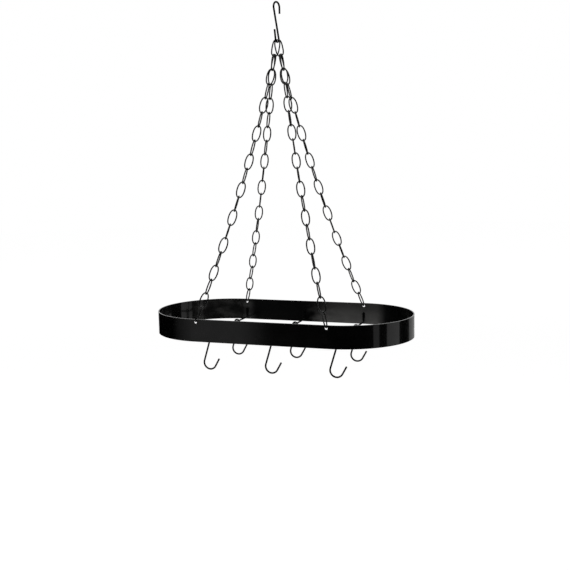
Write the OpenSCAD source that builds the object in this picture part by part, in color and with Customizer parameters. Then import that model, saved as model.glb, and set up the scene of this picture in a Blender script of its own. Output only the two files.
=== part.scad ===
// Hanging pot rack: an oval band of flat steel bar, hung by four chains from one ceiling hook.
// Six wire arms stand inward from the band, and a loose pot hook hangs on each.
// The origin is the seat in the top of the ceiling hook. +Z is up, X runs along the oval and -Y is the front.

/* [Band] */
// Overall length of the oval band
band_l = 610; // [520:5:760]
// Overall width of the oval band
band_w = 300; // [250:5:380]
// Height of the flat bar
band_h = 51; // [40:1:70]
// Thickness of the flat bar
band_t = 2.5; // [1.5:0.25:4]
// Diameter of the four chain holes
hole_d = 6.5; // [5.5:0.25:8]
// Centre of a chain hole below the band's top edge
hole_drop = 6.5; // [5:0.5:12]
// Drop of the last link's wire from the top of its hole
hole_play = 0.8; // [0.5:0.1:1.2]
// Chain holes and outer arms inward from the ends of the straight walls
hole_inset = 3; // [3:1:30]

/* [Chains] */
// Links in each chain, from a top link down to its hole
chain_links = 19; // [15:2:25]
// Distance from one link to the next
link_pitch = 32.4; // [28:0.1:40]
// Outside width of a link
link_w = 20; // [18:0.5:24]
// Diameter of the link wire
link_wire = 3; // [2.5:0.1:3.6]
// Clearance where two links hook into each other
link_gap = 0.2; // [0.1:0.05:0.4]
// Clearance between two links that hang side by side
side_gap = 0.4; // [0.2:0.1:0.8]
// Clearance between a top link and the two chains on it
fork_gap = 0.5; // [0.4:0.05:0.6]
// Turn of a chain between its two ends, as it sags under its own weight
chain_bend = 10; // [0:1:16]
// Lean of the two top links from upright
top_link_lean = 12.5; // [8:0.5:16]

/* [Ceiling hook] */
// Diameter of the ceiling hook's wire
hook_wire = 4.2; // [3.6:0.1:5]
// Overall height of the ceiling hook
hook_h = 90.5; // [82:0.5:120]
// Radius of the wire's middle line round the upper loop
hook_top_r = 11; // [10:0.5:18]
// Radius of the wire's middle line round the lower loop
hook_low_r = 6.2; // [5.8:0.1:8]
// Straight end below the upper loop
hook_top_leg = 13.5; // [4:0.5:16]
// Straight end above the lower loop
hook_low_leg = 22; // [8:1:26]
// Lean of the lower straight end, away from the shank
hook_leg_lean = 8; // [4:1:14]
// Turn of the hook's flat side about the upright, from the YZ plane
hook_turn = 15; // [0:1:30]
// Clearance between the ceiling hook and the links on it
hook_gap = 0.8; // [0.6:0.05:0.95]

/* [Arms] */
// Diameter of the arm wire
arm_wire = 4; // [3.4:0.1:4.8]
// Reach of an arm from the band's inner face
arm_reach = 77; // [50:1:100]
// Middle of an arm's level part above the band's bottom edge
arm_rise = 5; // [4:0.5:20]
// Height of an arm's welded leg above the level part
arm_leg = 24; // [16:1:30]
// Width of the flattened leg
leg_w = 6; // [5:0.5:6]
// Thickness of the flattened leg
leg_t = 2.6; // [2.2:0.1:3]
// Radius of the wire's middle line in an arm's two bends
arm_bend_r = 4.5; // [4:0.5:7]
// Straight end above an arm's tip bend
arm_tip = 2.5; // [1:0.5:10]

/* [Pot hooks] */
// Diameter of the pot hook wire
pot_wire = 4; // [3.2:0.1:4.4]
// Radius of the wire's middle line over an arm
arch_r = 6; // [5.4:0.2:8]
// Straight end of the arch past its widest point
arch_leg = 3; // [1:0.5:8]
// Straight shank between the arch and the bowl
shank = 62; // [45:1:80]
// Radius of the wire's middle line in the bowl
bowl_r = 15; // [12:0.5:20]
// Outward flare of the bowl's open end from the shank's direction
bowl_flare = 12; // [8:1:30]
// Straight open end of the bowl
bowl_leg = 20; // [8:1:26]
// Centre of a hook's arch back from the arm's tip
hang_back = 12; // [10:1:30]
// Clearance between a pot hook and its arm
pot_gap = 0.3; // [0.1:0.05:0.5]

/* [Hidden] */
$fn = 64;
enamel = [0.08, 0.08, 0.085];
left = -1;
middle = 0;
right = 1;
front = -1;
back = 1;
chamfer = 0.5;
ring_h = 0.4;
ring_more = 0.06;

// Ceiling hook, in its own plane: across, and up from the seat in its upper loop
top_loop = [0, hook_wire / 2 - hook_top_r];
low_loop = [0, hook_wire * 1.5 - hook_h + hook_low_r];
shank_lean = asin((hook_top_r + hook_low_r) / (top_loop[1] - low_loop[1]));
low_seat_z = low_loop[1] - hook_low_r;

// Links. A hooked pair overlaps by one wire and its clearance.
overlap = link_wire + link_gap;
link_l = link_pitch + overlap;
link_end_r = (link_w - link_wire) / 2;
straight_half = link_l / 2 - link_end_r;

// Top links: both sit on the ceiling hook, side by side along its wire, and lean apart
pair_step = (link_wire + side_gap) / 2;
seat_step = hook_low_r - sqrt(hook_low_r^2 - pair_step^2);
seat_reach = (hook_wire + link_wire) / 2 + hook_gap;
fork_step = link_end_r - sqrt(link_end_r^2 - pair_step^2);
function top_dir(side) = [side * sin(top_link_lean), 0, -cos(top_link_lean)];
function top_seat(side) = [side * pair_step * tan(hook_turn), side * pair_step, low_seat_z + seat_step];
function top_end(side) = top_seat(side) + top_dir(side) * (link_l - seat_reach);

// Chains: each follows an arc from its top link to its hole, and the arc's chord sets how deep the band hangs
link_bend = chain_bend / chain_links;
chord_per_pitch = sum([for (k = [0:chain_links - 1]) cos(link_turn(k))]);
function link_turn(k) = chain_bend / 2 - (k + 0.5) * link_bend;
function sum(v, i = 0) = i < len(v) ? v[i] + sum(v, i + 1) : 0;
function unit(v) = v / norm(v);
hole_x = (band_l - band_w) / 2 - hole_inset;
hole_y = (band_w - band_t) / 2;
chord = chord_per_pitch * link_pitch + overlap / 2;
across = [hole_x + top_end(left)[0], hole_y];
link_z = top_end(left)[2] - sqrt(chord^2 - across[0]^2 - across[1]^2);
hole_z = link_z - hole_d / 2 + link_wire / 2 + hole_play;
band_top = hole_z + hole_drop;
band_bottom = band_top - band_h;

// Start and end of one chain, and the direction of its link k
function chain_start(side, end) =
    top_end(side) - top_dir(side) * (overlap / 2 + fork_step + fork_gap - link_gap)
    - end * pair_step * [cos(top_link_lean), 0, side * sin(top_link_lean)];
function chain_hole(side, end) = [side * hole_x, end * hole_y, link_z];
function link_dir(run, k) =
    let (sag = unit([0, 0, -1] + unit(run) * (unit(run)[2])))
    unit(run) * cos(link_turn(k)) + sag * sin(link_turn(k));
function chain_run(side, end) =
    let (whole = chain_hole(side, end) - chain_start(side, end))
    whole - link_dir(whole, chain_links - 1) * overlap / 2;
function chain_points(side, end) =
    let (run = chain_run(side, end), step = norm(run) / chord_per_pitch)
    [for (k = 0, p = chain_start(side, end); k <= chain_links; p = p + step * link_dir(run, k), k = k + 1) p];

// Arms, in their own plane: inward from the band's inner face, and up from the level part's middle line
arm_z = band_bottom + arm_rise;
arm_y = band_w / 2 - band_t;
arm_x = hole_x;
leg_stand = 0.1;
leg_x = arm_wire / 2 + leg_stand;
tip_x = arm_reach - arm_wire / 2;
pad_bottom = arm_bend_r + arm_wire / 2;

// Pot hooks, in their own plane from the arch's centre. Each hangs with its weight below its arm.
arm_in_arch = [0, arch_r - (pot_wire + arm_wire) / 2 - pot_gap];
bowl_centre = [arch_r + bowl_r, -shank];
bowl_end = bowl_centre + bowl_r * [cos(bowl_flare), -sin(bowl_flare)];
bowl_tip = bowl_end + bowl_leg * [sin(bowl_flare), cos(bowl_flare)];
function arc_length(r, turn) = r * turn * PI / 180;
function arc_middle(centre, r, from, turn) =
    centre + r * r / arc_length(r, turn)
    * [sin(from + turn) - sin(from), cos(from) - cos(from + turn)];
pot_runs = [
    [arc_length(arch_r, 180), arc_middle([0, 0], arch_r, 0, 180)],
    [arch_leg, [-arch_r, -arch_leg / 2]],
    [shank, [arch_r, -shank / 2]],
    [arc_length(bowl_r, 180 - bowl_flare), arc_middle(bowl_centre, bowl_r, 180, 180 - bowl_flare)],
    [bowl_leg, (bowl_end + bowl_tip) / 2],
];
pot_weight = sum([for (run = pot_runs) run[0]]);
pot_middle = [
    sum([for (run = pot_runs) run[0] * run[1][0]]),
    sum([for (run = pot_runs) run[0] * run[1][1]]),
] / pot_weight;
pot_lean = atan2(pot_middle[0] - arm_in_arch[0], arm_in_arch[1] - pot_middle[1]);
hang_y = arm_y - arm_reach + hang_back;

// A curved length of wire in the XY plane
module bend(centre, r, from, turn, d) {
    translate([centre[0], centre[1], 0])
        rotate(from)
            rotate_extrude(angle = turn)
                translate([r, 0])
                    circle(d = d);
}

// A bend with a ring at each end, a hair wider than the wire, that makes one solid of it and the next length
module joined_bend(centre, r, from, turn, d) {
    bend(centre, r, from, turn, d);
    for (a = [from, from + turn])
        translate([centre[0], centre[1], 0])
            rotate(a)
                translate([r, 0, 0])
                    rotate([90, 0, 0])
                        cylinder(h = ring_h, d = d + ring_more, center = true);
}

// A straight length of wire in the XY plane
module rod(from, to, d) {
    run = to - from;
    translate([from[0], from[1], 0])
        rotate(atan2(run[1], run[0]))
            rotate([0, 90, 0])
                cylinder(h = norm(run), d = d);
}

// A straight length of wire that ends in a small chamfer
module open_end(from, to, d) {
    run = to - from;
    translate([from[0], from[1], 0])
        rotate(atan2(run[1], run[0]))
            rotate([0, 90, 0])
                rotate_extrude()
                    polygon([
                        [0, 0], [d / 2, 0], [d / 2, norm(run) - chamfer],
                        [d / 2 - chamfer, norm(run)], [0, norm(run)],
                    ]);
}

// Stands what is drawn in the XY plane upright in the XZ plane
module upright() {
    rotate([90, 0, 0]) children();
}

// One welded link in the XY plane, its length along X
module link() {
    for (s = [0, 180])
        rotate(s) {
            bend([straight_half, 0], link_end_r, -90, 180, link_wire);
            rod([straight_half, link_end_r], [-straight_half, link_end_r], link_wire);
        }
}

// Puts a link at a place, its length along one direction and its width along another
module placed_link(place, along, wide) {
    flat = cross(along, wide);
    multmatrix([
        [along[0], wide[0], flat[0], place[0]],
        [along[1], wide[1], flat[1], place[1]],
        [along[2], wide[2], flat[2], place[2]],
        [0, 0, 0, 1],
    ])
        link();
}

// Links that stand by turns square to the wall and along it. The first and last stand square.
module chain(side, end) {
    points = chain_points(side, end);
    color(enamel)
        for (k = [0:chain_links - 1]) {
            along = unit(points[k + 1] - points[k]);
            wall = unit([-along[2], 0, along[0]]);
            placed_link((points[k] + points[k + 1]) / 2, along, k % 2 == 0 ? cross(wall, along) : wall);
        }
}

module top_link(side) {
    along = top_dir(side);
    color(enamel)
        placed_link(top_end(side) - along * link_l / 2, along, cross([0, 1, 0], along));
}

module ceiling_hook() {
    from = top_loop - hook_top_r * [cos(shank_lean), sin(shank_lean)];
    to = low_loop + hook_low_r * [cos(shank_lean), sin(shank_lean)];
    side = low_loop - hook_low_r * [cos(hook_leg_lean), sin(hook_leg_lean)];
    color(enamel)
        rotate(90 - hook_turn)
            upright() {
                open_end(top_loop + [hook_top_r, 0], top_loop + [hook_top_r, -hook_top_leg], hook_wire);
                joined_bend(top_loop, hook_top_r, 0, 180 + shank_lean, hook_wire);
                rod(from, to, hook_wire);
                joined_bend(low_loop, hook_low_r, 180 + hook_leg_lean, 180 - hook_leg_lean + shank_lean, hook_wire);
                open_end(side, side + hook_low_leg * [-sin(hook_leg_lean), cos(hook_leg_lean)], hook_wire);
            }
}

// An oval with straight sides and round ends
module oval(l, w) {
    square([l - w, w], center = true);
    for (s = [left, right])
        translate([s * (l - w) / 2, 0])
            circle(d = w, $fn = 180);
}

module band() {
    color(enamel)
        difference() {
            translate([0, 0, band_bottom])
                linear_extrude(band_h)
                    difference() {
                        oval(band_l, band_w);
                        oval(band_l - 2 * band_t, band_w - 2 * band_t);
                    }
            for (s = [left, right], e = [front, back])
                translate([s * hole_x, e * hole_y, hole_z])
                    rotate([90, 0, 0])
                        cylinder(h = 4 * band_t, d = hole_d, center = true);
        }
}

// The flattened, welded leg, a bend, the level part and the turned-up tip
module arm_wire_form() {
    leg_h = arm_leg - pad_bottom;
    translate([leg_t / 2, pad_bottom + leg_h / 2, 0])
        rotate([0, 90, 0])
            linear_extrude(leg_t, center = true) {
                square([leg_w, leg_h - leg_w], center = true);
                for (s = [-1, 1])
                    translate([0, s * (leg_h - leg_w) / 2])
                        circle(d = leg_w);
            }
    rod([leg_x, pad_bottom + leg_w], [leg_x, arm_bend_r], arm_wire);
    bend([leg_x + arm_bend_r, arm_bend_r], arm_bend_r, 180, 90, arm_wire);
    rod([leg_x + arm_bend_r, 0], [tip_x - arm_bend_r, 0], arm_wire);
    bend([tip_x - arm_bend_r, arm_bend_r], arm_bend_r, 270, 90, arm_wire);
    open_end([tip_x, arm_bend_r], [tip_x, arm_bend_r + arm_tip], arm_wire);
}

module arm(side, end) {
    color(enamel)
        translate([side * arm_x, end * arm_y, arm_z])
            rotate(-end * 90)
                upright()
                    arm_wire_form();
}

module pot_hook(side, end) {
    color(enamel)
        translate([side * arm_x, end * hang_y, arm_z])
            upright()
                rotate(-pot_lean)
                    translate(-arm_in_arch) {
                        open_end([-arch_r, 0], [-arch_r, -arch_leg], pot_wire);
                        joined_bend([0, 0], arch_r, 0, 180, pot_wire);
                        rod([arch_r, 0], [arch_r, -shank], pot_wire);
                        joined_bend(bowl_centre, bowl_r, 180, 180 - bowl_flare, pot_wire);
                        open_end(bowl_end, bowl_tip, pot_wire);
                    }
}

band();
ceiling_hook();
top_link(left);  // top_link_left
top_link(right);  // top_link_right
chain(left, front);  // chain_front_left
chain(right, front);  // chain_front_right
chain(left, back);  // chain_back_left
chain(right, back);  // chain_back_right
arm(left, front);  // arm_front_left
arm(middle, front);  // arm_front_middle
arm(right, front);  // arm_front_right
arm(left, back);  // arm_back_left
arm(middle, back);  // arm_back_middle
arm(right, back);  // arm_back_right
pot_hook(left, front);  // pot_hook_front_left
pot_hook(middle, front);  // pot_hook_front_middle
pot_hook(right, front);  // pot_hook_front_right
pot_hook(left, back);  // pot_hook_back_left
pot_hook(middle, back);  // pot_hook_back_middle
pot_hook(right, back);  // pot_hook_back_right
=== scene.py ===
"""Hanging pot rack: an oval enamelled band on four chains, with inward arms and loose pot hooks."""

import logging
import math
from dataclasses import dataclass, field
from enum import Enum
from typing import Iterable, Sequence

import bmesh
import bpy
from mathutils import Matrix, Vector


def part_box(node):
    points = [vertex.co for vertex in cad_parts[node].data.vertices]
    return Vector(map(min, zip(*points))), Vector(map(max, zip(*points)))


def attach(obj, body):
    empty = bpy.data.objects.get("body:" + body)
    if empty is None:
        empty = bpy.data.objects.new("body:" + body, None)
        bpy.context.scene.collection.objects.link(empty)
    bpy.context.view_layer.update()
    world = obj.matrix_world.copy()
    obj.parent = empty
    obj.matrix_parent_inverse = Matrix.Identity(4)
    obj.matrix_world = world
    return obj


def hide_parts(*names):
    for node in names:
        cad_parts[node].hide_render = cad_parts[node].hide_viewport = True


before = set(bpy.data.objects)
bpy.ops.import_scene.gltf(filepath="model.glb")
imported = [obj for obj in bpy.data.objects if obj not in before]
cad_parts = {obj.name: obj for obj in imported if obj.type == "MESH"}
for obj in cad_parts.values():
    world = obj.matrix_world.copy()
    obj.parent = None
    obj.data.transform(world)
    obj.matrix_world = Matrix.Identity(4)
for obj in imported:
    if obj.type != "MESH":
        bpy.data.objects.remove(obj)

Pair = tuple[float, float]
Triple = tuple[float, float, float]

LOG = logging.getLogger("pot_rack")
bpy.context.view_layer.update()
# Width and height of the picture
FRAME_PX = 570
# The mesh layer that says how far a wire is rubbed bare
WEAR = "wear"
WHITE = (1.0, 1.0, 1.0, 1.0)
UP = Vector((0, 0, 1))
# Allowance for rounding in a sum of lengths
ROUNDING = 1e-9
# Sockets of a Mix node that mixes colours
MIX_FACTOR, MIX_LOW, MIX_HIGH, MIX_OUT = 0, 6, 7, 2
# Sections in the rounding of a wire's end, and the share of a quarter turn that they take
ROUND_STEPS = 4
ROUND_SHARE = 0.94


class Side(Enum):
    """A place along the rack's length."""

    LEFT = -1
    MIDDLE = 0
    RIGHT = 1


class End(Enum):
    """The long side of the rack that a piece stands on."""

    FRONT = -1
    BACK = 1


# ---------------------------------------------------------------- sizes


@dataclass(frozen=True)
class RackSizes:
    """The rack's driving sizes in metres and degrees, as its CAD source has them."""

    band_l: float = 0.610
    band_w: float = 0.300
    band_h: float = 0.051
    band_t: float = 0.0025
    hole_d: float = 0.0065
    hole_drop: float = 0.0065
    hole_play: float = 0.0008
    hole_inset: float = 0.003
    chain_links: int = 19
    link_pitch: float = 0.0324
    link_w: float = 0.020
    link_wire: float = 0.003
    link_gap: float = 0.0002
    side_gap: float = 0.0004
    fork_gap: float = 0.0005
    chain_bend: float = 10.0
    top_link_lean: float = 12.5
    hook_wire: float = 0.0042
    hook_h: float = 0.0905
    hook_top_r: float = 0.011
    hook_low_r: float = 0.0062
    hook_top_leg: float = 0.0135
    hook_low_leg: float = 0.022
    hook_leg_lean: float = 8.0
    hook_turn: float = 15.0
    hook_gap: float = 0.0008
    arm_wire: float = 0.004
    arm_reach: float = 0.077
    arm_rise: float = 0.005
    arm_leg: float = 0.024
    leg_w: float = 0.006
    leg_t: float = 0.0026
    leg_stand: float = 0.0001
    arm_bend_r: float = 0.0045
    arm_tip: float = 0.0025
    pot_wire: float = 0.004
    arch_r: float = 0.006
    arch_leg: float = 0.003
    shank: float = 0.062
    bowl_r: float = 0.015
    bowl_flare: float = 12.0
    bowl_leg: float = 0.020
    hang_back: float = 0.012
    pot_gap: float = 0.0003


@dataclass(frozen=True)
class HangingPlan:
    """Where each piece of the rack hangs, worked out from its sizes."""

    sizes: RackSizes
    weld_up: float = 0.62

    @property
    def overlap(self) -> float:
        """How far the middle lines of two hooked links overlap."""
        return self.sizes.link_wire + self.sizes.link_gap

    @property
    def link_l(self) -> float:
        """Length of a link's middle line."""
        return self.sizes.link_pitch + self.overlap

    @property
    def link_end_r(self) -> float:
        """Half the width of a link's middle line."""
        return (self.sizes.link_w - self.sizes.link_wire) / 2

    @property
    def pair_step(self) -> float:
        """Half the distance between two links side by side."""
        return (self.sizes.link_wire + self.sizes.side_gap) / 2

    @property
    def fork_step(self) -> float:
        """Rise of a top link's foot at one of the two chains on it."""
        return self.link_end_r - math.sqrt(self.link_end_r**2 - self.pair_step**2)

    @property
    def top_loop_z(self) -> float:
        """Height of the centre of the ceiling hook's upper loop."""
        return self.sizes.hook_wire / 2 - self.sizes.hook_top_r

    @property
    def low_loop_z(self) -> float:
        """Height of the centre of the ceiling hook's lower loop."""
        return self.sizes.hook_wire * 1.5 - self.sizes.hook_h + self.sizes.hook_low_r

    @property
    def shank_lean(self) -> float:
        """Lean of the ceiling hook's shank in degrees."""
        reach = self.sizes.hook_top_r + self.sizes.hook_low_r
        return math.degrees(math.asin(reach / (self.top_loop_z - self.low_loop_z)))

    def top_dir(self, side: Side) -> Vector:
        """Direction of a top link, downwards."""
        lean = math.radians(self.sizes.top_link_lean)
        return Vector((side.value * math.sin(lean), 0, -math.cos(lean)))

    def top_end(self, side: Side) -> Vector:
        """Finds the foot of a top link.

        Args:
            side: Which of the two top links.

        Returns:
            The middle of the wire there.
        """
        s = self.sizes
        seat_step = s.hook_low_r - math.sqrt(s.hook_low_r**2 - self.pair_step**2)
        along = side.value * self.pair_step
        seat = Vector((along * math.tan(math.radians(s.hook_turn)), along,
                       self.low_loop_z - s.hook_low_r + seat_step))
        reach = (s.hook_wire + s.link_wire) / 2 + s.hook_gap
        return seat + self.top_dir(side) * (self.link_l - reach)

    def link_turn(self, k: float) -> float:
        """Turn of link k from the chain's chord, in radians."""
        s = self.sizes
        return math.radians(s.chain_bend / 2 - (k + 0.5) * s.chain_bend / s.chain_links)

    @property
    def chord_per_pitch(self) -> float:
        """Length of a chain's chord in link pitches."""
        return sum(math.cos(self.link_turn(k)) for k in range(self.sizes.chain_links))

    @property
    def hole_x(self) -> float:
        """Distance of the chain holes and outer arms from the middle."""
        s = self.sizes
        return (s.band_l - s.band_w) / 2 - s.hole_inset

    @property
    def hole_y(self) -> float:
        """Distance of the middle of the band's long walls from the middle."""
        return (self.sizes.band_w - self.sizes.band_t) / 2

    @property
    def link_z(self) -> float:
        """Works out how far down the chains reach.

        Returns:
            Height of the middle of the wire that hangs in each chain hole.
        """
        chord = self.chord_per_pitch * self.sizes.link_pitch + self.overlap / 2
        foot = self.top_end(Side.LEFT)
        return foot.z - math.sqrt(chord**2 - (self.hole_x + foot.x)**2 - self.hole_y**2)

    @property
    def hole_z(self) -> float:
        """Height of the chain holes' centres."""
        s = self.sizes
        return self.link_z - s.hole_d / 2 + s.link_wire / 2 + s.hole_play

    @property
    def band_top(self) -> float:
        """Height of the band's top edge."""
        return self.hole_z + self.sizes.hole_drop

    @property
    def band_bottom(self) -> float:
        """Height of the band's bottom edge."""
        return self.band_top - self.sizes.band_h

    @property
    def band_middle(self) -> float:
        """Height halfway up the band."""
        return self.band_top - self.sizes.band_h / 2

    @property
    def arm_z(self) -> float:
        """Height of the middle of the arms' level wires."""
        return self.band_bottom + self.sizes.arm_rise

    @property
    def arm_y(self) -> float:
        """Distance of the band's inner face from the middle."""
        return self.sizes.band_w / 2 - self.sizes.band_t

    @property
    def weld_z(self) -> float:
        """Height of the spot welds that hold the arms' legs."""
        return self.arm_z + self.sizes.arm_leg * self.weld_up

    def chain_points(self, side: Side, end: End) -> list[Vector]:
        """The points between which a chain's links lie, from the top down.

        Args:
            side: The side whose top link holds the chain.
            end: The long wall that the chain runs to.

        Returns:
            One point more than the chain has links.
        """
        s = self.sizes
        lean = math.radians(s.top_link_lean)
        step = self.overlap / 2 + self.fork_step + s.fork_gap - s.link_gap
        aside = Vector((math.cos(lean), 0, side.value * math.sin(lean)))
        start = self.top_end(side) - self.top_dir(side) * step
        start -= end.value * self.pair_step * aside
        hole = Vector((side.value * self.hole_x, end.value * self.hole_y, self.link_z))
        whole = hole - start
        run = whole - self._link_dir(whole, s.chain_links - 1) * self.overlap / 2
        length = run.length / self.chord_per_pitch
        points = [start]
        for k in range(s.chain_links):
            points.append(points[-1] + length * self._link_dir(run, k))
        return points

    def _link_dir(self, run: Vector, k: int) -> Vector:
        """Finds how a link lies in its sagging chain.

        Args:
            run: The chain's chord, from the top down.
            k: The link's number from the top.

        Returns:
            The link's direction.
        """
        chord = run.normalized()
        sag = (Vector((0, 0, -1)) + chord * chord.z).normalized()
        return chord * math.cos(self.link_turn(k)) + sag * math.sin(self.link_turn(k))


# ---------------------------------------------------------------- shaders


class Sock:
    """A shader value that can be used in Python expressions."""

    def __init__(self, shader: "Shader", socket: bpy.types.NodeSocket) -> None:
        """Wraps one output socket of a shader."""
        self.shader = shader
        self.socket = socket

    def _math(self, operation: str, *values: "Sock | float") -> "Sock":
        """Adds a Math node."""
        return self.shader.node("ShaderNodeMath", {"operation": operation}, dict(enumerate(values)))

    def __add__(self, other: "Sock | float") -> "Sock":
        """self + other."""
        return self._math("ADD", self, other)

    __radd__ = __add__

    def __sub__(self, other: "Sock | float") -> "Sock":
        """self - other."""
        return self._math("SUBTRACT", self, other)

    def __rsub__(self, other: float) -> "Sock":
        """other - self."""
        return self._math("SUBTRACT", other, self)

    def __mul__(self, other: "Sock | float") -> "Sock":
        """self * other."""
        return self._math("MULTIPLY", self, other)

    __rmul__ = __mul__

    def __pow__(self, other: float) -> "Sock":
        """self to the power of other."""
        return self._math("POWER", self, other)

    def distance_to(self, place: float) -> "Sock":
        """The absolute difference from a number."""
        return self._math("ABSOLUTE", self - place)

    def largest(self, other: "Sock | float") -> "Sock":
        """The larger of self and other."""
        return self._math("MAXIMUM", self, other)

    def ramp(self, low: float, high: float) -> "Sock":
        """Steps smoothly from 0 to 1.

        Args:
            low: Where the step is 0.
            high: Where it is 1, which may be the smaller number.

        Returns:
            The step, 0 or 1 outside those limits.
        """
        start, stop = (low, high) if low < high else (high, low)
        rise = self.shader.node(
            "ShaderNodeMapRange", {"interpolation_type": "SMOOTHSTEP"},
            {"Value": self, "From Min": start, "From Max": stop})
        return rise if low < high else 1 - rise


class Shader:
    """One material's node tree, with a single method that makes any node."""

    def __init__(self, tree: bpy.types.NodeTree) -> None:
        """Clears the tree and starts from nothing."""
        tree.nodes.clear()
        self.tree = tree

    def node(self, kind: str, settings: dict | None = None,
             inputs: dict | None = None, output: int | str = 0) -> Sock:
        """Makes a node and joins or sets its inputs.

        Args:
            kind: The node's type name.
            settings: Properties that are set first.
            inputs: Values or links of its sockets, by name or number.
            output: The output socket that is returned.

        Returns:
            The chosen output.
        """
        made = self.tree.nodes.new(kind)
        for key, value in (settings or {}).items():
            setattr(made, key, value)
        for key, value in (inputs or {}).items():
            if isinstance(value, Sock):
                self.tree.links.new(value.socket, made.inputs[key])
            else:
                made.inputs[key].default_value = value
        return Sock(self, made.outputs[output] if made.outputs else None)

    def axes(self, vector: Sock) -> tuple[Sock, Sock, Sock]:
        """The three parts of a vector."""
        parts = self.node("ShaderNodeSeparateXYZ", None, {"Vector": vector}).socket.node
        return tuple(Sock(self, parts.outputs[name]) for name in "XYZ")

    def noise(self, coords: Sock, scale: float, detail: float, rough: float = 0.5) -> Sock:
        """Noise from 0 to 1 over the coordinates."""
        return self.node("ShaderNodeTexNoise", None, {
            "Vector": coords, "Scale": scale, "Detail": detail, "Roughness": rough}, "Fac")

    def colour(self, mask: Sock, low: Sock | Triple, high: Triple) -> Sock:
        """A colour between two, by a mask."""
        first = low if isinstance(low, Sock) else (*low, 1.0)
        return self.node("ShaderNodeMix", {"data_type": "RGBA"}, {
            MIX_FACTOR: mask, MIX_LOW: first, MIX_HIGH: (*high, 1.0)}, MIX_OUT)

    def seen_by(self, *rays: str) -> Sock:
        """Tells some kinds of ray from the others.

        Args:
            rays: The kinds, as the Light Path node names them.

        Returns:
            1 for a ray of those kinds, and 0 for any other.
        """
        path = self.node("ShaderNodeLightPath").socket.node
        seen, *others = [Sock(self, path.outputs[f"Is {ray} Ray"]) for ray in rays]
        for other in others:
            seen = seen.largest(other)
        return seen


def start_material(name: str) -> tuple[bpy.types.Material, Shader]:
    """Makes a material that is shaded by nodes.

    Args:
        name: Its name.

    Returns:
        The material and its empty shader.
    """
    made = bpy.data.materials.new(name)
    made.use_nodes = True
    return made, Shader(made.node_tree)


@dataclass(frozen=True)
class Enamel:
    """Gloss black stoved enamel, with the fine ripple and slight dust of a used kitchen piece.

    A scale is in waves to the metre, a depth is in metres, and an edge is where a mask steps
    from 0 to 1.
    """

    name: str
    paint: Triple = (0.0006, 0.0006, 0.00065)
    # Grey of dust, which the band also uses as a painted sheen that stands in for reflections
    dust_and_sheen_grey: Triple = (0.064, 0.063, 0.061)
    bare_steel: Triple = (0.30, 0.295, 0.29)
    ior: float = 1.5
    shine: float = 0.1
    gloss: float = 0.24
    gloss_spread: float = 0.10
    dull_rough: float = 0.28
    bare_rough: float = 0.16
    coat_rough: float = 0.07
    grain_scale: float = 2600.0
    grain_share: float = 0.5
    bare_edge: Pair = (0.95, 1.25)
    cloud_scale: float = 34.0
    dust_edge: Pair = (0.45, 0.8)
    dust_share: float = 0.015
    dull_scale: float = 75.0
    dull_edge: Pair = (0.62, 0.8)
    dull_share: float = 0.02
    peel_scale: float = 520.0
    peel_depth: float = 0.000006
    wave_scale: float = 19.0
    wave_depth: float = 0.00022

    def material(self) -> bpy.types.Material:
        """Builds the enamel.

        Returns:
            Its material.
        """
        made, shader = start_material(self.name)
        coords = shader.node("ShaderNodeTexCoord", None, None, "Object")
        # Dull spots, and on the band a painted sheen that stands in for its inner face's
        # reflections
        dull_and_sheen = self.dull_and_sheen_mask(shader, coords)
        wear = shader.node("ShaderNodeAttribute", {"attribute_name": WEAR}, None, "Fac")
        grain = shader.noise(coords, self.grain_scale, detail=3.0) * self.grain_share
        bare = (wear + grain - self.grain_share / 2).ramp(*self.bare_edge)
        cloud = shader.noise(coords, self.cloud_scale, detail=4.0, rough=0.6)
        # Dust and the painted sheen both turn the black paint grey
        dust_and_sheen = dull_and_sheen + cloud.ramp(*self.dust_edge) * self.dust_share
        skin = shader.colour(dust_and_sheen, self.paint, self.dust_and_sheen_grey)
        colour = shader.colour(bare, skin, self.bare_steel)
        rough = cloud * self.gloss_spread + self.gloss
        rough = rough + dull_and_sheen * self.dull_rough + bare * self.bare_rough
        bump = shader.node("ShaderNodeBump", None, {
            "Strength": 1.0, "Distance": 1.0, "Height": self.relief(shader, coords)})
        surface = shader.node("ShaderNodeBsdfPrincipled", None, {
            "Base Color": colour, "Roughness": rough, "Metallic": bare, "Normal": bump,
            "IOR": self.ior, "Specular IOR Level": self.shine,
            "Coat Weight": self.coat(shader, coords, cloud),
            "Coat Roughness": self.coat_rough, "Coat IOR": self.ior})
        shader.node("ShaderNodeOutputMaterial", None, {"Surface": surface})
        return made

    def coat(self, shader: Shader, coords: Sock, cloud: Sock) -> Sock | float:
        """How strong the gloss top layer is, from 0 to 1."""
        return 0.0

    def dull_and_sheen_mask(self, shader: Shader, coords: Sock) -> Sock:
        """Where the enamel is duller than elsewhere, from 0 to 1; the band's enamel adds painted
        sheen here.
        """
        spots = shader.noise(coords, self.dull_scale, detail=3.0, rough=0.6)
        return spots.ramp(*self.dull_edge) * self.dull_share

    def relief(self, shader: Shader, coords: Sock) -> Sock:
        """Height of the enamel's surface in metres."""
        peel = shader.noise(coords, self.peel_scale, detail=1.0) * self.peel_depth
        return peel + shader.noise(coords, self.wave_scale, detail=1.0) * self.wave_depth


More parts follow.
